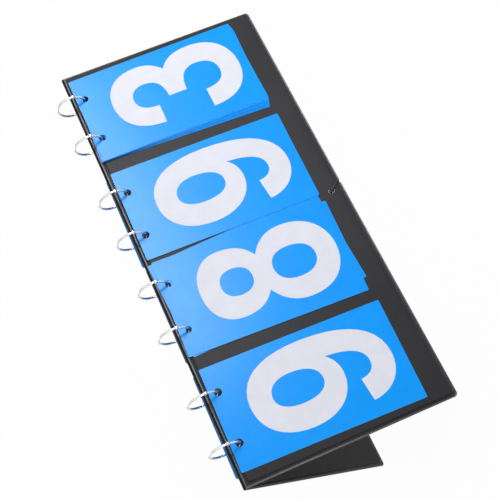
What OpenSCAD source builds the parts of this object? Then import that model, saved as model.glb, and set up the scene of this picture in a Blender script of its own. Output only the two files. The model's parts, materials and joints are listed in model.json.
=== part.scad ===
// Tabletop flip scoreboard: two padded vinyl covers joined at a spine stand as a tent.
// Four stacks of number cards hang on eight book rings and turn over the top one by one.
// Frame: X to the reader's right, the front cover faces -Y, Z up, rest plane at z = 0.
// Each cover is drawn flat: x along the board, y up the cover (0 at the hinge line), z outward.

/* [Board] */
// Margin from an outer stack to the end of the board, mm
side_margin = 9.25; // [8:0.25:16]
// Cover left free below the cards, mm
foot_room = 20.6; // [18:0.1:40]
// Total thickness of one padded cover, mm
cover_thickness = 3.0; // [2.6:0.1:3.6]
// Thickness of one vinyl sheet, mm
sheet = 0.4; // [0.3:0.05:0.5]
// Width of the welded flange outside the padded field, mm
weld = 3.0; // [2.5:0.1:4]
// Corner radius of the flange and of the padded field, mm
corner = 3.0; // [2:0.5:5]
// Opening angle of the standing tent, degrees
tent_angle = 43.5; // [36:0.5:48]
// Play between the stiffener board and the pocket round it, mm
board_play = 0.15; // [0.1:0.05:0.3]

/* [Cards] */
// Width of a number card, mm
card_width = 84.5; // [76:0.5:96]
// Height of a number card, mm
card_height = 148; // [120:1:170]
// Thickness of a number card, mm
card_thickness = 0.3; // [0.2:0.05:0.3]
// Corner radius of a number card, mm
card_corner = 1.0; // [0.5:0.5:4]
// Distance from the top edge of a card to the centres of its holes, mm
hole_drop = 7.0; // [6:0.5:8]
// Distance between the two holes of a card, mm
hole_spacing = 41.6; // [38:0.1:44]
// Diameter of the ring holes in the cards and the covers, mm
ring_hole = 6.2; // [6:0.1:6.6]
// Distance from the hinge line to the head of a card, mm
head_gap = 2.5; // [2.2:0.1:2.8]
// Gap between the two stacks at the middle of the board, mm
middle_gap = 3.5; // [3.5:0.5:8]
// Gap between the two stacks of one team, mm
team_gap = 12.5; // [12:0.5:20]

/* [Book rings] */
// Mean radius of a book ring, mm
ring_radius = 12.5; // [12.4:0.1:12.6]
// Diameter of the ring wire, mm
ring_wire = 2.0; // [1.8:0.1:2.2]
// Distance from the hinge line to the ring holes of a cover, mm
ring_line = 10; // [9.8:0.1:10.2]
// Radius of the knuckle that joins the two halves of a ring, mm
knuckle_radius = 1.6; // [1.5:0.05:1.65]
// Diameter of the rivet through a knuckle, mm
rivet_diameter = 1.0; // [0.8:0.1:1.2]
// Height of the tooth that locks the clasp, mm
clasp_tooth = 0.25; // [0.2:0.05:0.3]

/* [Eyelets and tether] */
// Distance from the bottom edge of a cover up to its tether eyelet, mm
eyelet_rise = 10.8; // [10.2:0.1:13]
// Bore of a tether eyelet, mm
eyelet_bore = 3.2; // [3:0.1:3.6]
// Outer diameter of an eyelet's rim, mm
eyelet_rim = 6.0; // [5.8:0.1:6.6]
// Diameter of the elastic tether, mm
cord_diameter = 1.4; // [1.2:0.1:1.6]
// Distance along the edge from the eyelet to where the tether goes round, mm
cord_side = 6.9; // [6:0.1:9]

/* [Hidden] */
half_angle = tent_angle / 2;
// Stacks from the board's middle outwards, and the covers round them
inner_stack = (card_width + middle_gap) / 2;
outer_stack = inner_stack + card_width + team_gap;
board_length = 2 * (outer_stack + card_width / 2 + side_margin);
cover_height = head_gap + card_height + foot_room;
eyelet_line = cover_height - eyelet_rise;
mid = cover_thickness / 2;
// Height of the hinge line, with the inner faces of the two flanges on the rest plane
spine_height = cover_height * cos(half_angle) - (mid - sheet) * sin(half_angle);
board_thickness = cover_thickness - 2 * sheet;
field_top = -weld;
field_bottom = weld - cover_height;
field_half = board_length / 2 - weld;
hole_radius = ring_hole / 2;
wire_radius = ring_wire / 2;
// Ring centre on the middle plane, so that the wire runs through the holes of both covers
hole_reach = ring_line * sin(half_angle) + mid * cos(half_angle);
hole_fall = ring_line * cos(half_angle) - mid * sin(half_angle);
ring_rise = sqrt(ring_radius * ring_radius - hole_reach * hole_reach) - hole_fall;
// Angles round the ring from +Y: the knuckle sits at the front, the clasp opposite
knuckle_at = 170;
clasp_at = -10;
// Half of the clasp's lap and the play at its ends, degrees round the ring
lap = 5;
lap_play = 0.6;
lap_gap = 0.05;
tongue = 0.7;
fork_gap = 0.8;
fork_clear = 0.15;
rivet_play = 0.03;
rivet_head = 0.2;
// The rings of the standing board have slid towards the reader's right in their holes
ring_slide = 1.5;
level = 3.0;
pitch = 0.32;
lift = 0.08;
barrel_wall = 0.5;
rim_wire = 0.55;
notch_width = cord_diameter + 0.8;
notch_depth = cord_diameter + 0.6;
round_steps = 64;
fine_steps = 32;
vinyl = [0.235, 0.235, 0.25];
inner_vinyl = [0.2, 0.2, 0.215];
greyboard = [0.55, 0.52, 0.47];
silver = [0.76, 0.77, 0.78];
card_blue = [0.04, 0.5, 0.9];
turned_blue = [0.05, 0.4, 0.78];
cord_black = [0.08, 0.08, 0.09];

// Stacks from the reader's right to left: middle, slide of the top card, its tilt, its head
right_units = outer_stack;
right_tens = inner_stack;
left_units = -inner_stack;
left_tens = -outer_stack;
// Half the ring spacing
half_spacing = hole_spacing / 2;
// Rings from the reader's right to left: place along the spine and lean in degrees
ring_at = [right_units + half_spacing, right_units - half_spacing,
    right_tens + half_spacing, right_tens - half_spacing,
    left_units + half_spacing, left_units - half_spacing,
    left_tens + half_spacing, left_tens - half_spacing];
ring_lean = [2, 2, -2, 2, 2, 2, -2, 0];

// Route of the tether, right half: x, distance down the cover, distance out from its inner face
cord_radius = cord_diameter / 2;
cord_out = cover_thickness + cord_radius + 0.1;
cord_in = -cord_radius - 0.1;
cord_under = cover_height - notch_depth + cord_radius;
cord_sides = 8;
cover_route = [
    [0, eyelet_line + 0.3, cord_in - 2.4],
    [0, eyelet_line, cord_in - 0.2],
    [0, eyelet_line, mid],
    [0.1, eyelet_line + 0.1, cover_thickness + 0.5],
    [0.5, eyelet_line + 0.6, cord_out + 0.5],
    [2, eyelet_line + 2.4, cord_out + 0.45],
    [4.2, eyelet_line + 4.9, cord_out],
    [cord_side - 0.9, eyelet_line + 7, cord_out],
    [cord_side - 0.15, cover_height - weld + 0.2, cord_out - 0.15],
    [cord_side, cord_under - 0.5, mid + 1.5],
    [cord_side, cord_under, mid + 0.6],
    [cord_side, cord_under, mid - 0.6],
    [cord_side, cord_under - 0.5, mid - 1.4],
    [cord_side, cover_height - weld + 0.2, cord_in],
    [cord_side, cover_height - weld - 1.4, cord_in - 1.6]
];

// Turns a point of the flat cover drawing into the standing frame, side 1 front, -1 back
function stand(p, side) = [
    p[0],
    -side * (p[1] * sin(half_angle) + p[2] * cos(half_angle)),
    spine_height - p[1] * cos(half_angle) + p[2] * sin(half_angle)
];
route_last = len(cover_route) - 1;
front_route = [for (p = cover_route) stand(p, 1)];
back_route = [for (i = [route_last:-1:0]) stand(cover_route[i], -1)];
// Points between the covers on the two free lengths of the loop
low_front = front_route[route_last];
high_front = front_route[0];
low_span = [for (k = [1:9]) [low_front[0], low_front[1] * (1 - k / 5), low_front[2]]];
high_span = [for (k = [1:9]) [high_front[0], -high_front[1] * (1 - k / 5), high_front[2]]];
route = concat(front_route, low_span, back_route, high_span);
count = len(route);
function unit(v) = v / norm(v);
function along(i) = unit(route[(i + 1) % count] - route[(i + count - 1) % count]);
// A ring of the tube stands across the route, kept upright by the axis it is least along
function side_of(t) = unit(cross(t, abs(t[0]) < 0.9 ? [1, 0, 0] : [0, 0, 1]));
function tube_ring(i) = let (t = along(i), u = side_of(t), v = cross(t, u))
    [for (k = [0:cord_sides - 1])
        route[i] + cord_radius * (cos(k * 360 / cord_sides) * u + sin(k * 360 / cord_sides) * v)];

// A plate with rounded corners
module plate(x0, x1, y0, y1, z0, z1, r) {
    translate([x0 + r, y0, z0])
        cube([x1 - x0 - 2 * r, y1 - y0, z1 - z0]);
    translate([x0, y0 + r, z0])
        cube([x1 - x0, y1 - y0 - 2 * r, z1 - z0]);
    for (x = [x0 + r, x1 - r], y = [y0 + r, y1 - r])
        translate([x, y, z0])
            cylinder(r = r, h = z1 - z0, $fn = round_steps);
}

module front_place() {
    translate([0, 0, spine_height])
        rotate([90 - half_angle, 0, 0])
            children();
}

module back_place() {
    mirror([0, 1, 0])
        front_place()
            children();
}

// The eight ring holes and the eyelet hole of a cover
module cover_holes() {
    for (x = ring_at)
        translate([x, -ring_line, -1])
            cylinder(r = hole_radius, h = cover_thickness + 2, $fn = round_steps);
    translate([0, -eyelet_line, -1])
        cylinder(r = eyelet_bore / 2 + barrel_wall, h = cover_thickness + 2, $fn = round_steps);
}

// The nick that the tether presses into the welded edge
module cord_nick() {
    translate([cord_side - notch_width / 2, -cover_height - 1, 0])
        cube([notch_width, notch_depth + 1, cover_thickness]);
}

module outer_sheet() {
    difference() {
        union() {
            plate(-board_length / 2, board_length / 2, -cover_height, 0, mid, mid + sheet, corner);
            translate([-board_length / 2, -corner, mid])
                cube([board_length, corner, sheet]);
            plate(-field_half, field_half, field_bottom, field_top, mid, cover_thickness, corner);
        }
        plate(-field_half + sheet, field_half - sheet, field_bottom + sheet, field_top - sheet,
            mid - 1, cover_thickness - sheet, corner - sheet);
        cover_holes();
        cord_nick();
    }
}

module inner_sheet() {
    difference() {
        union() {
            plate(-board_length / 2, board_length / 2, -cover_height, 0, mid - sheet, mid, corner);
            translate([-board_length / 2, -corner, mid - sheet])
                cube([board_length, corner, sheet]);
            plate(-field_half, field_half, field_bottom, field_top, 0, mid, corner);
        }
        plate(-field_half + sheet, field_half - sheet, field_bottom + sheet, field_top - sheet,
            sheet, mid + 1, corner - sheet);
        cover_holes();
        cord_nick();
    }
}

module stiffener() {
    inset = sheet + board_play;
    difference() {
        plate(-field_half + inset, field_half - inset, field_bottom + inset, field_top - inset,
            sheet, sheet + board_thickness, corner - inset);
        cover_holes();
    }
}

// Barrel through the cover with a domed rim outside and a rolled rim inside
module eyelet() {
    outer_mid = eyelet_rim / 2 - rim_wire;
    roll_mid = eyelet_bore / 2 + barrel_wall + 0.25;
    translate([0, -eyelet_line, 0]) {
        difference() {
            translate([0, 0, -0.3])
                cylinder(r = eyelet_bore / 2 + barrel_wall, h = cover_thickness + 0.6,
                    $fn = round_steps);
            translate([0, 0, -1])
                cylinder(r = eyelet_bore / 2, h = cover_thickness + 2, $fn = round_steps);
        }
        difference() {
            translate([0, 0, cover_thickness])
                rotate_extrude($fn = round_steps)
                    translate([outer_mid, 0])
                        circle(r = rim_wire, $fn = fine_steps);
            translate([0, 0, cover_thickness - 2])
                cylinder(r = eyelet_rim, h = 2, $fn = round_steps);
        }
        difference() {
            rotate_extrude($fn = round_steps)
                translate([roll_mid, 0])
                    circle(r = 0.45, $fn = fine_steps);
            cylinder(r = eyelet_rim, h = 2, $fn = round_steps);
        }
    }
}

// Ring frame: the ring lies in the YZ plane round the origin, the axis of the knuckle is X
module ring_place(i) {
    tip = (hole_fall + ring_rise) * sin(ring_lean[i]);
    translate([ring_at[i] + ring_slide + tip, 0, spine_height + ring_rise])
        rotate([0, ring_lean[i], 0])
            children();
}

module wire_arc(from, to) {
    rotate([90, 0, 90])
        rotate([0, 0, from])
            rotate_extrude(angle = to - from, $fn = round_steps)
                translate([ring_radius, 0])
                    circle(r = wire_radius, $fn = fine_steps);
}

module at_ring(angle) {
    translate([0, ring_radius * cos(angle), ring_radius * sin(angle)])
        rotate([angle, 0, 0])
            children();
}

// A round disc across the ring at the knuckle, from x0 to x1
module knuckle_disc(r, x0, x1) {
    at_ring(knuckle_at)
        translate([x0, 0, 0])
            rotate([0, 90, 0])
                cylinder(r = r, h = x1 - x0, $fn = round_steps);
}

// Half of the wire at the clasp, on the side given, between two angles
module lap_half(from, to, side) {
    difference() {
        wire_arc(from, to);
        translate([side > 0 ? lap_gap - 2 * ring_wire : -lap_gap, -2 * ring_radius,
            -2 * ring_radius])
            cube([2 * ring_wire, 4 * ring_radius, 4 * ring_radius]);
    }
}

// Tooth across the lap, standing out of the gate's face towards the shank
module tooth(r) {
    at_ring(clasp_at)
        translate([r - clasp_tooth, -wire_radius * 0.8, 0])
            rotate([-90, 0, 0])
                cylinder(r = r, h = wire_radius * 1.6, $fn = fine_steps);
}

module ring_shank() {
    difference() {
        union() {
            difference() {
                wire_arc(knuckle_at - 360, clasp_at - lap);
                knuckle_disc(knuckle_radius + fork_clear, -2, 2);
            }
            lap_half(clasp_at - lap - 1, clasp_at + lap, -1);
            knuckle_disc(knuckle_radius, -wire_radius, -fork_gap / 2);
            knuckle_disc(knuckle_radius, fork_gap / 2, wire_radius);
            fork_root(1);
            fork_root(-1);
        }
        tooth(clasp_tooth + 0.2);
        knuckle_disc(rivet_diameter / 2, -2, 2);
    }
}

// Wire left beside the tongue, which carries a cheek of the fork
module fork_root(side) {
    difference() {
        wire_arc(knuckle_at - 360, knuckle_at - 360 + 10);
        translate([side > 0 ? fork_gap / 2 - 4 : -fork_gap / 2, -2 * ring_radius,
            -2 * ring_radius])
            cube([4, 4 * ring_radius, 4 * ring_radius]);
    }
}

// Wire narrowed to the thickness of the tongue
module tongue_root() {
    intersection() {
        wire_arc(knuckle_at - 10, knuckle_at);
        translate([-tongue / 2, -2 * ring_radius, -2 * ring_radius])
            cube([tongue, 4 * ring_radius, 4 * ring_radius]);
    }
}

module ring_gate() {
    difference() {
        union() {
            difference() {
                wire_arc(clasp_at + lap + lap_play, knuckle_at);
                knuckle_disc(knuckle_radius + fork_clear, -2, 2);
            }
            lap_half(clasp_at - lap + lap_play, clasp_at + lap + lap_play + 1, 1);
            knuckle_disc(knuckle_radius, -tongue / 2, tongue / 2);
            tongue_root();
            intersection() {
                tooth(clasp_tooth);
                wire_arc(clasp_at - lap, clasp_at + lap);
            }
        }
        knuckle_disc(rivet_diameter / 2 + rivet_play, -2, 2);
    }
}

module ring_rivet() {
    knuckle_disc(rivet_diameter / 2, -wire_radius - rivet_head, wire_radius + rivet_head);
    knuckle_disc(rivet_diameter * 0.85, wire_radius, wire_radius + rivet_head);
    knuckle_disc(rivet_diameter * 0.85, -wire_radius - rivet_head, -wire_radius);
}

// A card in the flat cover drawing: x of its middle, head below the hinge line, level, tilt
module card(x, head, z, tilt) {
    translate([x, -head - hole_drop, z])
        rotate([0, 0, -tilt])
            difference() {
                plate(-card_width / 2, card_width / 2, hole_drop - card_height, hole_drop,
                    0, card_thickness, card_corner);
                for (side = [-1, 1])
                    translate([side * half_spacing, 0, -1])
                        cylinder(r = hole_radius, h = card_thickness + 2, $fn = round_steps);
            }
}

// Vinyl, boards and eyelets
module front_outer_sheet() { color(vinyl) front_place() outer_sheet(); }
module front_inner_sheet() { color(inner_vinyl) front_place() inner_sheet(); }
module front_board() { color(greyboard) front_place() stiffener(); }
module front_eyelet() { color(silver) front_place() eyelet(); }
module back_outer_sheet() { color(vinyl) back_place() outer_sheet(); }
module back_inner_sheet() { color(inner_vinyl) back_place() inner_sheet(); }
module back_board() { color(greyboard) back_place() stiffener(); }
module back_eyelet() { color(silver) back_place() eyelet(); }

// Strip of vinyl that bends round the hinge line from one flange to the other
module spine_hinge() {
    color(vinyl)
        translate([-board_length / 2, 0, spine_height])
            rotate([90, 0, 90])
                difference() {
                    rotate([0, 0, half_angle])
                        rotate_extrude(angle = 180 - tent_angle, $fn = round_steps)
                            translate([mid - sheet, 0])
                                square([2 * sheet, board_length]);
                    translate([0, 0, -1])
                        cylinder(r = mid - sheet, h = board_length + 2, $fn = round_steps);
                }
}

module tether_cord() {
    points = [for (i = [0:count - 1]) each tube_ring(i)];
    faces = [for (i = [0:count - 1], k = [0:cord_sides - 1])
        let (j = (i + 1) % count, m = (k + 1) % cord_sides)
            [i * cord_sides + k, i * cord_sides + m, j * cord_sides + m, j * cord_sides + k]];
    color(cord_black)
        polyhedron(points = points, faces = faces);
}

// Book rings
module shank(i) { color(silver) ring_place(i) ring_shank(); }
module gate(i) { color(silver) ring_place(i) ring_gate(); }
module ring_1_shank() { shank(0); }
module ring_2_shank() { shank(1); }
module ring_3_shank() { shank(2); }
module ring_4_shank() { shank(3); }
module ring_5_shank() { shank(4); }
module ring_6_shank() { shank(5); }
module ring_7_shank() { shank(6); }
module ring_8_shank() { shank(7); }
module ring_1_gate() { gate(0); }
module ring_2_gate() { gate(1); }
module ring_3_gate() { gate(2); }
module ring_4_gate() { gate(3); }
module ring_5_gate() { gate(4); }
module ring_6_gate() { gate(5); }
module ring_7_gate() { gate(6); }
module ring_8_gate() { gate(7); }

module ring_rivets() {
    color(silver)
        for (i = [0:7])
            ring_place(i) ring_rivet();
}

// Cards of each stack: showing, waiting under it, last turned, and the rest of the turned pack
module right_units_top_card() {
    color(card_blue) front_place() card(right_units + 1.8, head_gap - 0.1, level + 6 * pitch + lift, -0.5);
}

module right_units_waiting_cards() {
    color(card_blue)
        front_place()
            for (k = [0:5])
                card(right_units + 1.5, head_gap, level + k * pitch, 2.4 - 0.45 * k);
}

module right_units_turned_card() {
    color(turned_blue) back_place() card(right_units + 1.4, head_gap + 0.3, level + 2 * pitch + lift, 0.4);
}

module right_units_turned_pack() {
    color(turned_blue)
        back_place()
            for (k = [0:1])
                card(right_units + 1.4, head_gap + 0.3, level + k * pitch, 0.3 - 0.2 * k);
}

module right_tens_top_card() {
    color(card_blue) front_place() card(right_tens + 1.2, head_gap, level + 0.45, 0.8);
}

module right_tens_turned_card() {
    color(turned_blue) back_place() card(right_tens + 1.3, head_gap - 0.2, level + 8 * pitch + lift, 1);
}

module right_tens_turned_pack() {
    color(turned_blue)
        back_place()
            for (k = [0:7])
                card(right_tens + 1.3, head_gap - 0.1 - 0.03 * k, level + k * pitch, 0.4 + 0.05 * k);
}

module left_units_top_card() {
    color(card_blue) front_place() card(left_units + 1.3, head_gap - 0.2, level + 0.45, 2.1);
}

module left_units_waiting_card() {
    color(card_blue) front_place() card(left_units + 0.5, head_gap - 0.3, level, -2.7);
}

module left_units_turned_card() {
    color(turned_blue) back_place() card(left_units + 1.3, head_gap + 0.2, level + 7 * pitch + lift, 0.5);
}

module left_units_turned_pack() {
    color(turned_blue)
        back_place()
            for (k = [0:6])
                card(left_units + 1.3, head_gap + 0.2, level + k * pitch, 0.5 - 0.1 * k);
}

module left_tens_top_card() {
    color(card_blue) front_place() card(left_tens + 1.7, head_gap - 0.1, level + lift, 1.3);
}

module left_tens_turned_card() {
    color(turned_blue) back_place() card(left_tens + 1.5, head_gap - 0.4, level + 8 * pitch + lift, 1);
}

module left_tens_turned_pack() {
    color(turned_blue)
        back_place()
            for (k = [0:7])
                card(left_tens + 1.5, head_gap - 0.1 - 0.03 * k, level + k * pitch, 0.5 + 0.05 * k);
}

front_outer_sheet();
front_inner_sheet();
front_board();
front_eyelet();
spine_hinge();
back_outer_sheet();
back_inner_sheet();
back_board();
back_eyelet();
tether_cord();
ring_1_shank();
ring_2_shank();
ring_3_shank();
ring_4_shank();
ring_5_shank();
ring_6_shank();
ring_7_shank();
ring_8_shank();
ring_1_gate();
ring_2_gate();
ring_3_gate();
ring_4_gate();
ring_5_gate();
ring_6_gate();
ring_7_gate();
ring_8_gate();
ring_rivets();
right_units_top_card();
right_units_waiting_cards();
right_units_turned_card();
right_units_turned_pack();
right_tens_top_card();
right_tens_turned_card();
right_tens_turned_pack();
left_units_top_card();
left_units_waiting_card();
left_units_turned_card();
left_units_turned_pack();
left_tens_top_card();
left_tens_turned_card();
left_tens_turned_pack();
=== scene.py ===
import json
import math
import bpy
from mathutils import Matrix, Vector

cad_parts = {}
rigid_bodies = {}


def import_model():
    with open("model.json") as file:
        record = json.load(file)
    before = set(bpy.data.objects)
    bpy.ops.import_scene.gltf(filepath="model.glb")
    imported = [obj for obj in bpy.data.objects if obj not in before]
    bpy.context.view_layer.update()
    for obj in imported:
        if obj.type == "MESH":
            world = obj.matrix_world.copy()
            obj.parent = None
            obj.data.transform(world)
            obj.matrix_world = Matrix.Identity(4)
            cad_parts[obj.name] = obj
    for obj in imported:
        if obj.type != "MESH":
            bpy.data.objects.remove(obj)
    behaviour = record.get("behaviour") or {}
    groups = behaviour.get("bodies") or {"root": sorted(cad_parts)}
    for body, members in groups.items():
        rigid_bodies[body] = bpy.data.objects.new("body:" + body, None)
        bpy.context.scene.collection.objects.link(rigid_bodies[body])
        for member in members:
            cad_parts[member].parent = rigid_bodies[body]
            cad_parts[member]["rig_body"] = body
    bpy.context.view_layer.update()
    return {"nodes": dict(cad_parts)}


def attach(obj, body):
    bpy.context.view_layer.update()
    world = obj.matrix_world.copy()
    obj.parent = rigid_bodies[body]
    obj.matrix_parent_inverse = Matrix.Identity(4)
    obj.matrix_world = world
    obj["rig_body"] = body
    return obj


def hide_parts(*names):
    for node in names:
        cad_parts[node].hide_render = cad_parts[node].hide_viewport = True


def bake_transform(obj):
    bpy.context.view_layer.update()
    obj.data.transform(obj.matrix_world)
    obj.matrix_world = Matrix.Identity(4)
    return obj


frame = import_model()
nodes = frame["nodes"]

board = {
    "length": 0.385, "height": 0.1711, "thickness": 0.003, "sheet": 0.0004,
    "weld": 0.003, "tent": 43.5, "ringLine": 0.010, "eyeletLine": 0.1603,
    "ringHole": 0.0062, "eyeletHole": 0.0042, "nickX": 0.0069, "nickWidth": 0.0022, "nickDepth": 0.002,
    "stacks": (0.141, 0.044, -0.044, -0.141), "holeReach": 0.0208,
}
halfAngle = math.radians(board["tent"] / 2)
midPlane = board["thickness"] / 2
spineHeight = board["height"] * math.cos(halfAngle) - (midPlane - board["sheet"]) * math.sin(halfAngle)
# flat drawing of a cover (x along, y up, z outward) into the standing tent
frontPlace = Matrix.Translation((0, 0, spineHeight)) @ Matrix.Rotation(math.pi / 2 - halfAngle, 4, "X")
backPlace = Matrix.Scale(-1, 4, (0, 1, 0)) @ frontPlace


cameraSetup = {
    "place": (-0.3807, -0.7098, 0.5193), "lens": 80.88, "sensor": 36, "clip": 20,
    "right": (-0.40531, -0.32976, -0.85264), "up": (0.81799, -0.54726, -0.17720),
}
camData = bpy.data.cameras.new("Camera")
camData.lens = cameraSetup["lens"]
camData.sensor_width = cameraSetup["sensor"]
camData.clip_end = cameraSetup["clip"]
cam = bpy.data.objects.new("Camera", camData)
bpy.context.scene.collection.objects.link(cam)
axisX = Vector(cameraSetup["right"]).normalized()
axisZ = axisX.cross(Vector(cameraSetup["up"])).normalized()
axisY = axisZ.cross(axisX)
aim = Matrix((axisX, axisY, axisZ)).transposed().to_4x4()
cam.matrix_world = Matrix.Translation(cameraSetup["place"]) @ aim
bpy.context.scene.camera = cam
print("camera placed")


def nothingPicked():
    if bpy.context.object and bpy.context.object.mode != "OBJECT":
        bpy.ops.object.mode_set(mode="OBJECT")
    bpy.ops.object.select_all(action="DESELECT")


def pickOnly(obj):
    nothingPicked()
    obj.select_set(True)
    bpy.context.view_layer.objects.active = obj


def pickVerts(obj, test):
    # leaves the object in edit mode with the vertices that pass the test picked
    pickOnly(obj)
    bpy.ops.object.mode_set(mode="EDIT")
    bpy.ops.mesh.select_mode(type="VERT")
    bpy.ops.mesh.select_all(action="DESELECT")
    bpy.ops.object.mode_set(mode="OBJECT")
    for v in obj.data.vertices:
        v.select = test(v.co)
    bpy.ops.object.mode_set(mode="EDIT")


def applyModifier(obj, kind, **settings):
    pickOnly(obj)
    mod = obj.modifiers.new(kind.title(), kind)
    for key, value in settings.items():
        setattr(mod, key, value)
    bpy.ops.object.modifier_apply(modifier=mod.name)


def mergeDoubles(obj, reach):
    pickVerts(obj, lambda co: True)
    bpy.ops.mesh.remove_doubles(threshold=reach)
    bpy.ops.object.mode_set(mode="OBJECT")


def smooth(obj, degrees=35):
    pickOnly(obj)
    bpy.ops.object.shade_smooth_by_angle(angle=math.radians(degrees))


def settle(obj, place, mirrored=False):
    # puts the place into the mesh, so that the object stays at the origin
    obj.data.transform(place @ obj.matrix_world)
    obj.matrix_world = Matrix.Identity(4)
    if mirrored:
        obj.data.flip_normals()
    obj.data.update()


# finishes
def newMaterial(name):
    mat = bpy.data.materials.new(name)
    mat.use_nodes = True
    tree = mat.node_tree
    return mat, tree, tree.nodes["Principled BSDF"]


def addNode(tree, kind, **values):
    node = tree.nodes.new(kind)
    for key, value in values.items():
        if key in node.inputs:
            node.inputs[key].default_value = value
        else:
            setattr(node, key, value)
    return node


def objectSpot(tree):
    return tree.nodes.new("ShaderNodeTexCoord").outputs["Object"]


def noise(tree, spot, scale, detail):
    node = addNode(tree, "ShaderNodeTexNoise", Scale=scale, Detail=detail)
    tree.links.new(spot, node.inputs["Vector"])
    return node.outputs["Fac"]


def spread(tree, source, low, high):
    # maps 0 to 1 onto low to high
    node = tree.nodes.new("ShaderNodeMapRange")
    node.inputs["To Min"].default_value = low
    node.inputs["To Max"].default_value = high
    tree.links.new(source, node.inputs["Value"])
    return node.outputs["Result"]


def bump(tree, source, strength, distance, under=None):
    node = addNode(tree, "ShaderNodeBump", Strength=strength, Distance=distance)
    tree.links.new(source, node.inputs["Height"])
    if under is not None:
        tree.links.new(under, node.inputs["Normal"])
    return node.outputs["Normal"]


def calculate(tree, operation, source, other=0):
    node = addNode(tree, "ShaderNodeMath", operation=operation)
    tree.links.new(source, node.inputs[0])
    node.inputs[1].default_value = other
    return node.outputs["Value"]


def dotProduct(tree, source, way):
    node = addNode(tree, "ShaderNodeVectorMath", operation="DOT_PRODUCT")
    tree.links.new(source, node.inputs[0])
    node.inputs[1].default_value = way
    return node.outputs["Value"]


def mixColours(tree, factor, low, high):
    # low and high are colours or sockets
    node = addNode(tree, "ShaderNodeMix", data_type="RGBA")
    tree.links.new(factor, node.inputs["Factor"])
    for side, value in (("A", low), ("B", high)):
        if isinstance(value, tuple):
            node.inputs[side].default_value = (*value, 1)
        else:
            tree.links.new(value, node.inputs[side])
    return node.outputs["Result"]


def shades(colour, share):
    return tuple(min(1, c * share) for c in colour)


def ramp(tree, source, stops):
    node = tree.nodes.new("ShaderNodeValToRGB")
    node.color_ramp.elements[0].position = stops[0][0]
    node.color_ramp.elements[0].color = (*stops[0][1], 1)
    node.color_ramp.elements[1].position = stops[-1][0]
    node.color_ramp.elements[1].color = (*stops[-1][1], 1)
    for position, colour in stops[1:-1]:
        node.color_ramp.elements.new(position).color = (*colour, 1)
    tree.links.new(source, node.inputs["Fac"])
    return node.outputs["Color"]


vinylFinish = {
    # the spine colour below is the covers' vinyl darkened, painted shade for the strip that turns away
    # from the light
    "outer": (0.018, 0.018, 0.021), "inner": (0.016, 0.016, 0.018), "spine": (0.008, 0.008, 0.009),
    "wear": 14, "darkWear": 0.82, "lightWear": 1.22, "wrinkle": 38, "grit": 360,
    "grain": 900, "grainSpread": 0.9, "wrinkleBump": (0.25, 0.0006), "grainBump": (0.35, 0.00008),
    "roughness": 0.46, "specular": 0.2, "glossier": 0.07, "duller": 0.1,
    "weldRoughness": 0.3, "weldSpecular": 0.4, "spineSpecular": 0.08,
}


def vinylMaterial(name, shade, roughness, specular, seed):
    mat, tree, shader = newMaterial(name)
    spot = objectSpot(tree)
    wear = noise(tree, spot, vinylFinish["wear"] + seed, detail=5)
    stops = [(0.3, shades(shade, vinylFinish["darkWear"])), (0.52, shade),
             (0.75, shades(shade, vinylFinish["lightWear"]))]
    tree.links.new(ramp(tree, wear, stops), shader.inputs["Base Color"])
    grit = noise(tree, spot, vinylFinish["grit"], detail=3)
    gloss = spread(tree, grit, roughness - vinylFinish["glossier"], roughness + vinylFinish["duller"])
    tree.links.new(gloss, shader.inputs["Roughness"])
    sag = noise(tree, spot, vinylFinish["wrinkle"] + seed, detail=2)
    folds = bump(tree, sag, *vinylFinish["wrinkleBump"])
    cells = addNode(tree, "ShaderNodeTexVoronoi", Scale=vinylFinish["grain"],
                    Randomness=vinylFinish["grainSpread"])
    tree.links.new(spot, cells.inputs["Vector"])
    grain = bump(tree, cells.outputs["Distance"], *vinylFinish["grainBump"], folds)
    tree.links.new(grain, shader.inputs["Normal"])
    shader.inputs["Specular IOR Level"].default_value = specular
    return mat


cardFinish = {
    # the edge colour below is paler than the print, partly as cut plastic is and partly a painted
    # highlight on the thin cut edges
    "face": (0.0, 0.315, 0.95), "edge": (0.45, 0.75, 0.98), "waitingEdge": (0.01, 0.34, 0.95),
    # the turned face colour below is the face blue darkened, painted shade for the turned cards on the
    # back of the tent
    "turnedFacePaintedShade": (0.0, 0.29, 0.90), "turnedEdge": (0.03, 0.33, 0.85), "edgeBelow": 0.5,
    # the dark colour and the pack spacing below paint shadow into the gaps of the fanned waiting pack
    "paintedGapShadow": (0.0, 0.015, 0.08), "packLevel": 0.003, "packStep": 0.00096, "gapFrom": 0.66,
    "mottle": 60, "darkMottle": 0.97, "lightMottle": 1.03, "skin": 240, "skinBump": (0.12, 0.00006),
    "bow": 9, "bowSeed": 0.3, "bowBump": (0.3, 0.0012),
    "roughness": 0.24, "specular": 0.16, "glossier": 0.04, "duller": 0.06,
}


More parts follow.
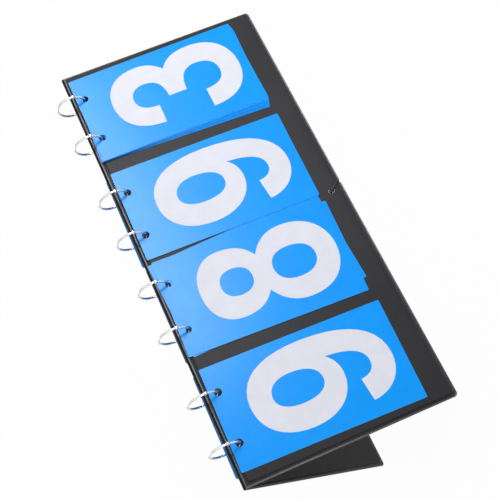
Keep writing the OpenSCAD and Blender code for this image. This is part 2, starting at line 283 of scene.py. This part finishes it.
def plasticCard(name, face, edge, side, seed, paintGapShadows=False):
    # printed plastic with cut edges in a colour of their own, for the top cards paler than the print,
    # partly as cut plastic is and partly a painted highlight; side is the way the card faces in the tent
    mat, tree, shader = newMaterial(name)
    spot = objectSpot(tree)
    mottle = noise(tree, spot, cardFinish["mottle"] + seed, detail=4)
    stops = [(0.35, shades(face, cardFinish["darkMottle"])),
             (0.65, shades(face, cardFinish["lightMottle"]))]
    printed = ramp(tree, mottle, stops)
    normal = tree.nodes.new("ShaderNodeTexCoord").outputs["Normal"]
    facing = calculate(tree, "ABSOLUTE", dotProduct(tree, normal, side))
    onEdge = calculate(tree, "LESS_THAN", facing, cardFinish["edgeBelow"])
    # the waiting pack's cut edges carry the painted gap shadows
    cutSide = paintedGapShadows(tree, spot, edge, side) if paintGapShadows else edge
    tree.links.new(mixColours(tree, onEdge, printed, cutSide), shader.inputs["Base Color"])
    skin = noise(tree, spot, cardFinish["skin"], detail=2)
    flow = noise(tree, spot, cardFinish["bow"] + seed * cardFinish["bowSeed"], detail=1)
    bow = bump(tree, flow, *cardFinish["bowBump"])
    tree.links.new(bump(tree, skin, *cardFinish["skinBump"], bow), shader.inputs["Normal"])
    rough = cardFinish["roughness"]
    gloss = spread(tree, skin, rough - cardFinish["glossier"], rough + cardFinish["duller"])
    tree.links.new(gloss, shader.inputs["Roughness"])
    shader.inputs["Specular IOR Level"].default_value = cardFinish["specular"]
    return mat


def paintedGapShadows(tree, spot, edge, side):
    # in the fanned waiting pack the side of every third card is painted dark, a painted shadow for the
    # gaps in the stack
    base = Vector((0, 0, spineHeight)).dot(side) + cardFinish["packLevel"]
    count = addNode(tree, "ShaderNodeMapRange", clamp=False)
    count.inputs["From Min"].default_value = base
    count.inputs["From Max"].default_value = base + cardFinish["packStep"]
    tree.links.new(dotProduct(tree, spot, side), count.inputs["Value"])
    within = calculate(tree, "FRACT", count.outputs["Result"])
    dark = calculate(tree, "GREATER_THAN", within, cardFinish["gapFrom"])
    return mixColours(tree, dark, edge, cardFinish["paintedGapShadow"])


# a metal's colour, roughness and depth of scratches
metalFinish = {
    "ring": ((0.70, 0.70, 0.72), 0.12, 0.1), "eyelet": ((0.10, 0.10, 0.11), 0.2, 0.15),
    "rivet": ((0.6, 0.6, 0.61), 0.3, 0.2), "haze": 320, "darkHaze": 0.86,
    "glossier": 0.05, "duller": 0.12, "scratches": 1400, "scratchDepth": 0.00003,
}


def metalMaterial(name, colour, roughness, scratch):
    mat, tree, shader = newMaterial(name)
    spot = objectSpot(tree)
    haze = noise(tree, spot, metalFinish["haze"], detail=4)
    stops = [(0.3, shades(colour, metalFinish["darkHaze"])), (0.7, colour)]
    tree.links.new(ramp(tree, haze, stops), shader.inputs["Base Color"])
    gloss = spread(tree, haze, roughness - metalFinish["glossier"], roughness + metalFinish["duller"])
    tree.links.new(gloss, shader.inputs["Roughness"])
    lines = noise(tree, spot, metalFinish["scratches"], detail=2)
    tree.links.new(bump(tree, lines, scratch, metalFinish["scratchDepth"]), shader.inputs["Normal"])
    shader.inputs["Metallic"].default_value = 1
    return mat


inkFinish = {
    "white": (0.75, 0.76, 0.84), "mottle": 90, "darkMottle": 0.96, "mottleBump": (0.1, 0.00004),
    "roughness": 0.65, "specular": 0.1,
}


def inkMaterial(name):
    mat, tree, shader = newMaterial(name)
    mottle = noise(tree, objectSpot(tree), inkFinish["mottle"], detail=4)
    stops = [(0.35, shades(inkFinish["white"], inkFinish["darkMottle"])), (0.65, inkFinish["white"])]
    tree.links.new(ramp(tree, mottle, stops), shader.inputs["Base Color"])
    tree.links.new(bump(tree, mottle, *inkFinish["mottleBump"]), shader.inputs["Normal"])
    shader.inputs["Roughness"].default_value = inkFinish["roughness"]
    shader.inputs["Specular IOR Level"].default_value = inkFinish["specular"]
    return mat


greyBoardFinish = {
    "dark": (0.20, 0.18, 0.15), "light": (0.33, 0.30, 0.26), "fibre": 500, "fibreBump": (0.4, 0.0001),
    "roughness": 0.9,
}


def boardMaterial(name):
    mat, tree, shader = newMaterial(name)
    fibre = noise(tree, objectSpot(tree), greyBoardFinish["fibre"], detail=6)
    stops = [(0.3, greyBoardFinish["dark"]), (0.7, greyBoardFinish["light"])]
    tree.links.new(ramp(tree, fibre, stops), shader.inputs["Base Color"])
    tree.links.new(bump(tree, fibre, *greyBoardFinish["fibreBump"]), shader.inputs["Normal"])
    shader.inputs["Roughness"].default_value = greyBoardFinish["roughness"]
    return mat


cordFinish = {
    "dark": (0.010, 0.010, 0.011), "light": (0.022, 0.022, 0.024), "braid": 10, "braidBump": (0.6, 0.0001),
    "roughness": 0.8, "sheen": 0.25,
}


def cordMaterial(name):
    # the braid follows the cord by its UV map
    mat, tree, shader = newMaterial(name)
    braid = addNode(tree, "ShaderNodeTexChecker", Scale=cordFinish["braid"])
    tree.links.new(tree.nodes.new("ShaderNodeTexCoord").outputs["UV"], braid.inputs["Vector"])
    stops = [(0.2, cordFinish["dark"]), (0.8, cordFinish["light"])]
    tree.links.new(ramp(tree, braid.outputs["Fac"], stops), shader.inputs["Base Color"])
    weave = bump(tree, braid.outputs["Fac"], *cordFinish["braidBump"])
    tree.links.new(weave, shader.inputs["Normal"])
    shader.inputs["Roughness"].default_value = cordFinish["roughness"]
    shader.inputs["Sheen Weight"].default_value = cordFinish["sheen"]
    return mat


skinGloss = vinylFinish["roughness"], vinylFinish["specular"]
outerVinyl = vinylMaterial("outerVinyl", vinylFinish["outer"], *skinGloss, seed=0)
innerVinyl = vinylMaterial("innerVinyl", vinylFinish["inner"], *skinGloss, seed=3)
weldVinyl = vinylMaterial("weldVinyl", vinylFinish["outer"], vinylFinish["weldRoughness"],
                          vinylFinish["weldSpecular"], seed=5)
# the spine strip gets the darkened vinyl, painted shade
spineVinylPaintedShade = vinylMaterial("spineVinylPaintedShade", vinylFinish["spine"], vinylFinish["roughness"],
                           vinylFinish["spineSpecular"], seed=8)
frontWay = (0, -math.cos(halfAngle), math.sin(halfAngle))
backWay = (0, math.cos(halfAngle), math.sin(halfAngle))
cardBlue = plasticCard("cardBlue", cardFinish["face"], cardFinish["edge"], frontWay, seed=0)
# the waiting cards carry painted shadow in the gaps of their pack
cardBlueWaiting = plasticCard("cardBlueWaiting", cardFinish["face"], cardFinish["waitingEdge"], frontWay,
                              seed=4, paintGapShadows=True)
# the turned cards get the darkened blue, painted shade
cardBlueTurned = plasticCard("cardBlueTurned", cardFinish["turnedFacePaintedShade"], cardFinish["turnedEdge"], backWay,
                             seed=7)
digitWhite = inkMaterial("digitWhite")
ringNickel = metalMaterial("ringNickel", *metalFinish["ring"])
eyeletNickel = metalMaterial("eyeletNickel", *metalFinish["eyelet"])
rivetSteel = metalMaterial("rivetSteel", *metalFinish["rivet"])
greyBoard = boardMaterial("greyBoard")
tetherBraid = cordMaterial("tetherBraid")
print("finishes made")


def dress(obj, mat):
    obj.data.materials.clear()
    obj.data.materials.append(mat)


# vinyl covers
coverShape = {
    "weldLine": 0.0011, "lineWidth": 0.0004, "lineDepth": 0.00016, "flangeCorner": 0.003,
    "fieldCorner": 0.003, "cornerSteps": 8, "edgeRound": 0.0009, "roundSteps": 6,
    "holeSides": 40, "cutDepth": 0.012, "cutOver": 0.001, "merge": 0.000002, "near": 0.00001, "crease": 40,
}
ringSpots = [middle + side * board["holeReach"] for middle in board["stacks"] for side in (1, -1)]


def pickEdges(obj, test):
    # leaves the object in edit mode with the edges whose two ends pass the test picked
    pickOnly(obj)
    bpy.ops.object.mode_set(mode="EDIT")
    bpy.ops.mesh.select_mode(type="EDGE")
    bpy.ops.mesh.select_all(action="DESELECT")
    bpy.ops.object.mode_set(mode="OBJECT")
    verts = obj.data.vertices
    for edge in obj.data.edges:
        edge.select = test(verts[edge.vertices[0]].co, verts[edge.vertices[1]].co)
    bpy.ops.object.mode_set(mode="EDIT")


def slab(name, halfX, yLow, yHigh, zLow, zHigh, corner, allCorners):
    # a block whose upright edges are rounded, all four or the lower two
    nothingPicked()
    bpy.ops.mesh.primitive_cube_add(size=1, location=(0, (yLow + yHigh) / 2, (zLow + zHigh) / 2),
                                    scale=(2 * halfX, yHigh - yLow, zHigh - zLow))
    obj = bpy.context.object
    obj.name = name
    bpy.ops.object.transform_apply(location=True, rotation=True, scale=True)
    middle = (yLow + yHigh) / 2
    pickEdges(obj, lambda a, b: abs(a.z - b.z) > coverShape["near"] and (allCorners or a.y < middle))
    bpy.ops.mesh.bevel(offset=corner, segments=coverShape["cornerSteps"], affect="EDGES")
    bpy.ops.object.mode_set(mode="OBJECT")
    return obj


def pickTop(obj, zHigh):
    pickOnly(obj)
    bpy.ops.object.mode_set(mode="EDIT")
    bpy.ops.mesh.select_mode(type="FACE")
    bpy.ops.mesh.select_all(action="DESELECT")
    bpy.ops.object.mode_set(mode="OBJECT")
    for face in obj.data.polygons:
        face.select = face.normal.z > 0.9 and abs(face.center.z - zHigh) < coverShape["near"]
    bpy.ops.object.mode_set(mode="EDIT")


def holeCutter():
    # eight ring holes, the eyelet hole and the nick of the tether, as one cutting piece
    nothingPicked()
    parts = []
    holes = [(x, board["ringLine"], board["ringHole"]) for x in ringSpots]
    holes.append((0, board["eyeletLine"], board["eyeletHole"]))
    for x, drop, width in holes:
        bpy.ops.mesh.primitive_cylinder_add(vertices=coverShape["holeSides"], radius=width / 2,
                                            depth=coverShape["cutDepth"], location=(x, -drop, midPlane))
        parts.append(bpy.context.object)
    over = coverShape["cutOver"]
    nickMiddle = (board["nickX"], -board["height"] - over + board["nickDepth"] / 2, midPlane)
    nickSize = (board["nickWidth"], board["nickDepth"] + 2 * over, coverShape["cutDepth"])
    bpy.ops.mesh.primitive_cube_add(size=1, location=nickMiddle, scale=nickSize)
    parts.append(bpy.context.object)
    nothingPicked()
    for part in parts:
        part.select_set(True)
    bpy.context.view_layer.objects.active = parts[0]
    bpy.ops.object.transform_apply(location=True, rotation=True, scale=True)
    bpy.ops.object.join()
    return bpy.context.object


def boolean(obj, other, operation):
    applyModifier(obj, "BOOLEAN", object=other, operation=operation, solver="EXACT")
    bpy.data.objects.remove(other)


def shineWeld(obj):
    # the pressed weld round a cover is glossier than its padded field
    obj.data.materials.append(weldVinyl)
    inner = board["length"] / 2 - board["weld"]
    for face in obj.data.polygons:
        spot = face.center
        if abs(spot.x) > inner or not board["weld"] < -spot.y < board["height"] - board["weld"]:
            face.material_index = 1


def makeSheet(inside):
    top = midPlane + board["sheet"]
    high = board["height"]
    half = board["length"] / 2
    weld = board["weld"]
    skin = board["sheet"]
    # flange with a weld line pressed along it
    obj = slab("sheet", half, -high, 0, midPlane, top, coverShape["flangeCorner"], False)
    pickTop(obj, top)
    bpy.ops.mesh.inset(thickness=coverShape["weldLine"], depth=0)
    bpy.ops.mesh.inset(thickness=coverShape["lineWidth"] / 2, depth=-coverShape["lineDepth"])
    bpy.ops.mesh.inset(thickness=coverShape["lineWidth"] / 2, depth=coverShape["lineDepth"])
    bpy.ops.object.mode_set(mode="OBJECT")
    # padded field, its upper edge rounded all round
    field = slab("field", half - weld, weld - high, -weld, midPlane, board["thickness"],
                 coverShape["fieldCorner"], True)
    pickEdges(field, lambda a, b: min(a.z, b.z) > board["thickness"] - coverShape["near"])
    bpy.ops.mesh.bevel(offset=coverShape["edgeRound"], segments=coverShape["roundSteps"], affect="EDGES")
    bpy.ops.object.mode_set(mode="OBJECT")
    boolean(obj, field, "UNION")
    # the pocket that the greyboard fills
    pocket = slab("pocket", half - weld - skin, weld + skin - high, -weld - skin,
                  midPlane - coverShape["cutOver"], board["thickness"] - skin,
                  coverShape["fieldCorner"] - skin, True)
    boolean(obj, pocket, "DIFFERENCE")
    boolean(obj, holeCutter(), "DIFFERENCE")
    mergeDoubles(obj, coverShape["merge"])
    if inside:
        # the inner skin is the outer one mirrored in the cover's middle plane
        obj.data.transform(Matrix.Translation((0, 0, 2 * midPlane)) @ Matrix.Scale(-1, 4, (0, 0, 1)))
        obj.data.flip_normals()
    return obj


coverSides = (("front", frontPlace, False), ("back", backPlace, True))
coverSkins = (("outer", False, outerVinyl), ("inner", True, innerVinyl))
for sideName, place, mirrored in coverSides:
    for layer, inside, mat in coverSkins:
        sheet = makeSheet(inside)
        sheet.name = f"{sideName}-{layer}-vinyl"
        dress(sheet, mat)
        shineWeld(sheet)
        settle(sheet, place, mirrored)
        smooth(sheet, coverShape["crease"])
        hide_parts(f"{sideName}_{layer}_sheet")
        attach(sheet, f"{sideName}_cover")
print("covers made")

# spine strip, spun round the hinge line from flange to flange
spineShape = {"steps": 14, "merge": 0.00001, "crease": 40}
nothingPicked()
bpy.ops.mesh.primitive_plane_add(size=1, location=(0, 0, 0), rotation=(math.pi / 2, 0, 0))
spine = bpy.context.object
spine.name = "spine-strip"
spine.scale = (board["length"], 2 * board["sheet"], 1)
bpy.ops.object.transform_apply(location=True, rotation=True, scale=True)
# stands in the end of the front flange, and is spun from there
spine.data.transform(Matrix.Translation((0, 0, midPlane)))
spine.data.transform(frontPlace)
pickVerts(spine, lambda co: True)
bpy.ops.mesh.spin(steps=spineShape["steps"], angle=math.radians(180 - board["tent"]),
                  center=(0, 0, spineHeight), axis=(1, 0, 0))
bpy.ops.mesh.select_all(action="SELECT")
bpy.ops.mesh.remove_doubles(threshold=spineShape["merge"])
bpy.ops.mesh.normals_make_consistent(inside=False)
bpy.ops.object.mode_set(mode="OBJECT")
smooth(spine, spineShape["crease"])
dress(spine, spineVinylPaintedShade)
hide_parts("spine_hinge")
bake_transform(spine)
print("spine made")

# tether loop: a smooth tube along the route of the CAD cord
tether = {"diameter": 0.0014, "play": 0.0001, "roundSteps": 4, "between": 5, "spanSteps": 10, "crease": 60}
cordRadius = tether["diameter"] / 2
cordOut = board["thickness"] + cordRadius + tether["play"]
cordIn = -cordRadius - tether["play"]
eye = board["eyeletLine"]
under = board["height"] - board["nickDepth"] + cordRadius
low = board["height"] - board["weld"]
sideX = board["nickX"]
# across the cover, down from the hinge line and out from the inner face
# through the eyelet, along the outer face, round the nick and back to the inner face
coverRoute = [
    (0, eye + 0.0003, cordIn - 0.0024), (0, eye, cordIn - 0.0002), (0, eye, midPlane),
    (0.0001, eye + 0.0001, board["thickness"] + 0.0005), (0.0005, eye + 0.0006, cordOut + 0.0005),
    (0.002, eye + 0.0024, cordOut + 0.00045), (0.0042, eye + 0.0049, cordOut),
    (sideX - 0.0009, eye + 0.007, cordOut), (sideX - 0.00015, low + 0.0002, cordOut - 0.00015),
    (sideX, under - 0.0005, midPlane + 0.0015), (sideX, under, midPlane + 0.0006),
    (sideX, under, midPlane - 0.0006), (sideX, under - 0.0005, midPlane - 0.0014),
    (sideX, low + 0.0002, cordIn), (sideX, low - 0.0014, cordIn - 0.0016),
]


def onCover(point, side):
    p = frontPlace @ Vector((point[0], -point[1], point[2]))
    return Vector((p.x, p.y * side, p.z))


frontRoute = [onCover(p, 1) for p in coverRoute]
backRoute = [onCover(p, -1) for p in reversed(coverRoute)]
spanShares = [1 - 2 * k / tether["spanSteps"] for k in range(1, tether["spanSteps"])]
lowEnd = frontRoute[-1]
highEnd = frontRoute[0]
lowSpan = [Vector((lowEnd.x, lowEnd.y * share, lowEnd.z)) for share in spanShares]
highSpan = [Vector((highEnd.x, -highEnd.y * share, highEnd.z)) for share in spanShares]
route = frontRoute + lowSpan + backRoute + highSpan
curve = bpy.data.curves.new("tether", "CURVE")
curve.dimensions = "3D"
curve.bevel_depth = cordRadius
curve.bevel_resolution = tether["roundSteps"]
curve.resolution_u = tether["between"]
spline = curve.splines.new("NURBS")
spline.points.add(len(route) - 1)
for point, p in zip(spline.points, route):
    point.co = (*p, 1)
spline.order_u = 3
spline.use_cyclic_u = True
tetherObj = bpy.data.objects.new("tether-loop", curve)
bpy.context.scene.collection.objects.link(tetherObj)
pickOnly(tetherObj)
bpy.ops.object.convert(target="MESH")
tetherObj = bpy.context.object
smooth(tetherObj, tether["crease"])
dress(tetherObj, tetherBraid)
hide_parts("tether_cord")
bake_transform(tetherObj)
print("tether made")

# rings, rivets and eyelets: merged copies of the CAD pieces, so that they shade as round wire
wireShape = {"merge": 0.000002, "crease": 45}
wireFinish = {"rivets": (rivetSteel, "rivet_steel"), "eyelet": (eyeletNickel, "nickel"),
              "shank": (ringNickel, "ring_steel"), "gate": (ringNickel, "ring_steel")}
for name, obj in nodes.items():
    ending = name.split("_")[-1]
    if ending in wireFinish:
        wire = bpy.data.objects.new(name.replace("_", "-"), obj.data.copy())
        bpy.context.scene.collection.objects.link(wire)
        mergeDoubles(wire, wireShape["merge"])
        smooth(wire, wireShape["crease"])
        mat, slotName = wireFinish[ending]
        dress(wire, mat)
        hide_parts(name)
        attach(wire, obj["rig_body"])
print("wire pieces made")

# carried-over CAD pieces get their finishes
for name, obj in nodes.items():
    if name.endswith("_board"):
        dress(obj, greyBoard)
    elif "turned" in name:
        dress(obj, cardBlueTurned)
    elif "waiting" in name:
        dress(obj, cardBlueWaiting)
    elif "card" in name:
        dress(obj, cardBlue)
print("CAD pieces dressed")

# white digits printed on the cards
# outlines in mm from the middle between a card's holes: one point is a straight run, three are a curve
digitOutlines = {
    "9": [
        [[(-29.5, -104.25)], [(-11, -102)], [(-10.25, -109.75), (-6.5, -114.25), (-0.25, -114.25)],
         [(11, -114.25), (15.25, -101), (16, -84)], [(12.25, -89.25), (6, -92.25), (-1, -92.25)],
         [(-19, -92.25), (-31.25, -77.25), (-31.25, -55.5)], [(-31.25, -32.25), (-19, -17.5), (1, -17.5)],
         [(23.5, -17.5), (35.25, -37.25), (35.25, -71)],
         [(35.25, -111), (21.75, -131.75), (-0.75, -131.75)],
         [(-16.5, -131.75), (-28.25, -121), (-29.5, -104.25)]],
        [[(0.25, -35.5)], [(-7, -35.5), (-11.5, -43.5), (-11.5, -54.75)],
         [(-11.5, -68.5), (-7, -76.5), (1, -76.5)], [(9.75, -76.5), (14.25, -68), (14.25, -55)],
         [(14.25, -43.5), (9.75, -35.5), (0.25, -35.5)]],
    ],
    "3": [
        [[(-28.25, -54.5)], [(-10.75, -55)], [(-10.75, -44), (-6.75, -37), (2, -37)],
         [(9.5, -37), (14, -42.25), (14, -50.5)], [(14, -61.5), (7, -66), (-5.5, -66)], [(-5.5, -82)],
         [(8.25, -82), (16.25, -87.25), (16.25, -98.5)],
         [(16.25, -109.75), (10.75, -115.5), (1.5, -115.5)],
         [(-6.75, -115.5), (-12.25, -109.75), (-12.25, -97)], [(-30.75, -97)],
         [(-30.75, -119.75), (-19.25, -133), (2, -133)],
         [(22.75, -133), (35.25, -119.75), (35.25, -99.75)], [(35.25, -87.25), (32, -77.25), (22, -71.5)],
         [(29, -66), (32.75, -59), (32.75, -49.75)], [(32.75, -31), (22, -19), (3.25, -19)],
         [(-16.75, -19), (-28.25, -32.25), (-28.25, -54.5)]],
    ],
    "8": [
        [[(2.5, -19)], [(20, -19), (32, -28.5), (32, -43.5)],
         [(32, -57.25), (28.25, -64.75), (18.75, -71)], [(30, -77.25), (35.75, -86), (35.75, -99.75)],
         [(35.75, -119.75), (22.5, -133.25), (3, -133.25)],
         [(-17.5, -133.25), (-30.25, -119.75), (-30.25, -99)],
         [(-30.25, -86), (-24.25, -77.25), (-13.75, -71)],
         [(-23.75, -64.75), (-27.5, -56.5), (-27.5, -44)], [(-27.5, -28.5), (-15.75, -19), (2.5, -19)]],
        [[(2.5, -36)], [(-5, -36), (-9.5, -41), (-9.5, -49)], [(-9.5, -57.25), (-5, -62.5), (2.5, -62.5)],
         [(10, -62.5), (14.25, -57.25), (14.25, -49.25)], [(14.25, -41), (10, -36), (2.5, -36)]],
        [[(2.5, -79.75)], [(-6.25, -79.75), (-11.75, -86), (-11.75, -97.25)],
         [(-11.75, -108.5), (-6.25, -115.5), (2.5, -115.5)],
         [(11.25, -115.5), (16.25, -108.5), (16.25, -97.25)],
         [(16.25, -86), (11.25, -79.75), (2.5, -79.75)]],
    ],
    "4": [
        [[(0.75, -19)], [(21.25, -19)], [(21.25, -91)], [(35.25, -91)], [(35.25, -107.25)],
         [(21.25, -107.25)], [(21.25, -131.75)], [(3.75, -131.75)], [(3.75, -107.25)], [(-31.75, -107.25)],
         [(-31.75, -89.75)], [(0.75, -19)]],
        [[(3.75, -44.75)], [(3.75, -91)], [(-17.25, -91)], [(3.75, -44.75)]],
    ],
    "2": [
        [[(-28.75, -56.5)], [(-10.25, -56.5)], [(-10.25, -44.75), (-6.25, -36.5), (2.75, -36.5)],
         [(10.75, -36.5), (14.75, -42.25), (14.75, -50.5)],
         [(14.75, -63.5), (5.75, -73.5), (-6.75, -84.75)], [(-23, -99), (-30.75, -111), (-31.25, -131.75)],
         [(34.75, -131.75)], [(34.75, -114)], [(-6.75, -114)],
         [(-3, -104.75), (4.5, -98.5), (14.5, -89.75)], [(27, -78.5), (33.75, -67.25), (33.75, -51)],
         [(33.75, -31), (22.75, -19), (3.25, -19)], [(-17.25, -19), (-28.75, -32.25), (-28.75, -56.5)]],
    ],
    "7": [
        [[(-30.25, -21)], [(34.75, -21)], [(34.75, -37.5)],
         [(18.25, -57.25), (5.75, -88.5), (2.75, -131.75)], [(-18.25, -131.75)],
         [(-14.75, -91), (-3, -63.5), (15.25, -39)], [(-30.25, -39)], [(-30.25, -21)]],
    ],
}
digitPrint = {"proud": 0.00003, "card": 0.0003, "holeDrop": 0.007, "steps": 10, "merge": 0.000002}
# piece, digit, body, cover it lies on, x of the card's middle, head below the hinge line, level of the
# card's under face, tilt in degrees
digitSpots = [
    ("right-units-digit", "3", "right_units_top", "front", 0.1428, 0.0024, 0.00500, -0.5),
    ("right-tens-digit", "9", "right_tens_top", "front", 0.0452, 0.0025, 0.00345, 0.8),
    ("left-units-digit", "8", "left_units_top", "front", -0.0427, 0.0023, 0.00345, 2.1),
    ("left-tens-digit", "9", "left_tens_top", "front", -0.1393, 0.0024, 0.00308, 1.3),
    ("right-units-next-digit", "4", "front_cover", "front", 0.1425, 0.0025, 0.00460, 0.15),
    ("left-units-next-digit", "9", "front_cover", "front", -0.0435, 0.0022, 0.00300, -2.7),
    ("right-units-turned-digit", "2", "right_units_turned", "back", 0.1424, 0.0028, 0.00372, 0.4),
    ("right-tens-turned-digit", "8", "right_tens_turned", "back", 0.0453, 0.0023, 0.00564, 1.0),
    ("left-units-turned-digit", "7", "left_units_turned", "back", -0.0427, 0.0027, 0.00532, 0.5),
    ("left-tens-turned-digit", "8", "left_tens_turned", "back", -0.1395, 0.0021, 0.00564, 1.0),
]


def metres(pair):
    return pair[0] / 1000, pair[1] / 1000, 0


def towards(here, there):
    # a third of the way, for the handle of a straight run
    return [(2 * here[n] + there[n]) / 3 for n in (0, 1)]


def digitMesh(label):
    data = bpy.data.curves.new(f"outline{label}", "CURVE")
    data.dimensions = "2D"
    data.fill_mode = "BOTH"
    data.resolution_u = digitPrint["steps"]
    data.extrude = digitPrint["proud"] / 2
    for outline in digitOutlines[label]:
        spline = data.splines.new("BEZIER")
        runs = outline[1:]
        spline.bezier_points.add(len(runs) - 1)
        spline.use_cyclic_u = True
        points = [run[-1] for run in runs]
        for k, point in enumerate(spline.bezier_points):
            point.handle_left_type = point.handle_right_type = "FREE"
            here = points[k]
            run = runs[k]
            ahead = runs[(k + 1) % len(runs)]
            point.co = metres(here)
            point.handle_left = metres(run[1] if len(run) == 3 else towards(here, points[k - 1]))
            after = points[(k + 1) % len(points)]
            point.handle_right = metres(ahead[0] if len(ahead) == 3 else towards(here, after))
    obj = bpy.data.objects.new("digit", data)
    bpy.context.scene.collection.objects.link(obj)
    pickOnly(obj)
    bpy.ops.object.convert(target="MESH")
    mergeDoubles(bpy.context.object, digitPrint["merge"])
    return bpy.context.object


def makeDigit(name, label, body, cover, x, head, level, tilt):
    obj = digitMesh(label)
    obj.name = name
    onFront = cover == "front"
    halfInk = digitPrint["proud"] / 2
    height = level + digitPrint["card"] + halfInk if onFront else level - halfInk
    # the card turns about the middle between its holes
    middle = Matrix.Translation((x, -head - digitPrint["holeDrop"], height))
    cardTurn = middle @ Matrix.Rotation(-math.radians(tilt), 4, "Z")
    settle(obj, (frontPlace if onFront else backPlace) @ cardTurn, not onFront)
    dress(obj, digitWhite)
    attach(obj, body)


for spot in digitSpots:
    makeDigit(*spot)
print("digits printed")

# floor, backdrop and light
stage = {
    "floorSize": 8, "floorShade": 0.9, "floorRoughness": 0.9, "whiteness": 0.97, "lightAway": 0.23,
    "aim": (0, 0, 0.08),
}
# place, power and size of each light
lights = {
    "keyLight": ((0.63, -1.06, 0.51), 11, (0.66, 0.2)),
    "topLight": ((-0.3, -0.7, 1.6), 3, (1.4, 1.2)),
    "rimLight": ((-1.3, -0.6, 0.4), 3, (0.3, 0.9)),
    "backLight": ((0.5, 1.5, 1.0), 9, (1.2, 0.8)),
}


def whiteRays(tree, low, high):
    # low for light that reaches the object, high for what the camera and reflections see
    seen = tree.nodes.new("ShaderNodeLightPath")
    anyRay = seen.outputs["Is Camera Ray"]
    for kind in ("Is Glossy Ray", "Is Transmission Ray"):
        either = addNode(tree, "ShaderNodeMath", operation="MAXIMUM")
        tree.links.new(anyRay, either.inputs[0])
        tree.links.new(seen.outputs[kind], either.inputs[1])
        anyRay = either.outputs["Value"]
    return spread(tree, anyRay, low, high)


nothingPicked()
bpy.ops.mesh.primitive_plane_add(size=stage["floorSize"], location=(0, 0, 0))
floor = bpy.context.object
floor.name = "floor"
floorMat, tree, shader = newMaterial("paleFloor")
shader.inputs["Base Color"].default_value = (*(stage["floorShade"],) * 3, 1)
shader.inputs["Roughness"].default_value = stage["floorRoughness"]
glow = addNode(tree, "ShaderNodeEmission", Strength=1.0)
glow.inputs["Color"].default_value = (1, 1, 1, 1)
mix = tree.nodes.new("ShaderNodeMixShader")
tree.links.new(whiteRays(tree, 0, stage["whiteness"]), mix.inputs["Fac"])
tree.links.new(shader.outputs["BSDF"], mix.inputs[1])
tree.links.new(glow.outputs["Emission"], mix.inputs[2])
tree.links.new(mix.outputs["Shader"], tree.nodes["Material Output"].inputs["Surface"])
dress(floor, floorMat)

world = bpy.data.worlds.new("studio")
bpy.context.scene.world = world
world.use_nodes = True
tree = world.node_tree
background = tree.nodes["Background"]
background.inputs["Color"].default_value = (1, 1, 1, 1)
tree.links.new(whiteRays(tree, stage["lightAway"], 1), background.inputs["Strength"])


def softLight(name, place, power, size):
    data = bpy.data.lights.new(name, "AREA")
    data.energy = power
    data.shape = "RECTANGLE"
    data.size = size[0]
    data.size_y = size[1]
    obj = bpy.data.objects.new(name, data)
    bpy.context.scene.collection.objects.link(obj)
    obj.location = place
    obj.rotation_euler = (Vector(stage["aim"]) - Vector(place)).to_track_quat("-Z", "Y").to_euler()


for name, settings in lights.items():
    softLight(name, *settings)
bpy.context.scene.view_settings.view_transform = "Standard"
print("stage lit")
